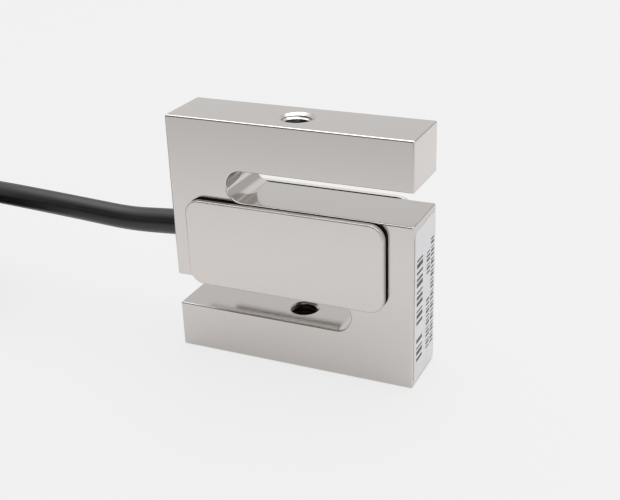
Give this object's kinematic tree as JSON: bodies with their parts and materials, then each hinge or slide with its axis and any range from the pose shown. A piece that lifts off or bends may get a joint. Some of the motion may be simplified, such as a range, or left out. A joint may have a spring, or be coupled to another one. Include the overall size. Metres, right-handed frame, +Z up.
{
  "type": "s-type load cell",
  "caption": "S-shaped plated block with a slot from each side, a threaded hole at each end of its load axis, flat covers over the gauge pocket and a thin cable.",
  "frame": {"origin": "mouth of the lower threaded hole, in the middle of the bottom face, on the load axis", "axes": "+Z up along the load axis, +X towards the side with the label, +Y towards the rear cover; the cable leaves towards -X"},
  "size_m": [0.1881, 0.0475, 0.0495],
  "materials": {
    "plated_block": "nickel plated, satin",
    "plated_cover": "nickel plated, satin",
    "sealant": "thin cured adhesive",
    "label_stock": "white film, matte",
    "circuit_board": "green board",
    "solder": "bright solder",
    "ceramic_chip": "glazed ceramic",
    "gauge_foil": "foil on an amber film",
    "lead_wire": "enamelled copper",
    "bush_rubber": "moulded black rubber",
    "crimp_brass": "plain",
    "cable_jacket": "black jacket, semi-matte",
    "tie_nylon": "black nylon",
    "shrink_sleeve": "heat-shrunk, semi-gloss",
    "tinned_copper": "tinned strands",
    "insulation_red": "coloured insulation",
    "insulation_black": "coloured insulation",
    "insulation_green": "coloured insulation",
    "insulation_white": "coloured insulation"
  },
  "bodies": {
    "root": {"cable_bush": "bush_rubber", "cable_clamp": "crimp_brass", "cable_hank": "cable_jacket", "cable_inlet": "cable_jacket", "cable_lead": "cable_jacket", "cable_tail": "cable_jacket", "core_black": "insulation_black", "core_green": "insulation_green", "core_red": "insulation_red", "core_white": "insulation_white", "front_cover": "plated_cover", "front_cover_seal": "sealant", "gauge_lower_left": "gauge_foil", "gauge_lower_right": "gauge_foil", "gauge_upper_left": "gauge_foil", "gauge_upper_right": "gauge_foil", "hank_ties": "tie_nylon", "leads_lower_left": "lead_wire", "leads_lower_right": "lead_wire", "leads_upper_left": "lead_wire", "leads_upper_right": "lead_wire", "rear_cover": "plated_cover", "rear_cover_seal": "sealant", "side_label": "label_stock", "solder_joints": "solder", "spring_body": "plated_block", "tail_black": "insulation_black", "tail_green": "insulation_green", "tail_red": "insulation_red", "tail_sleeve": "shrink_sleeve", "tail_tips": "tinned_copper", "tail_white": "insulation_white", "terminal_board": "circuit_board", "trim_resistors": "ceramic_chip"}
  },
  "joints": []
}
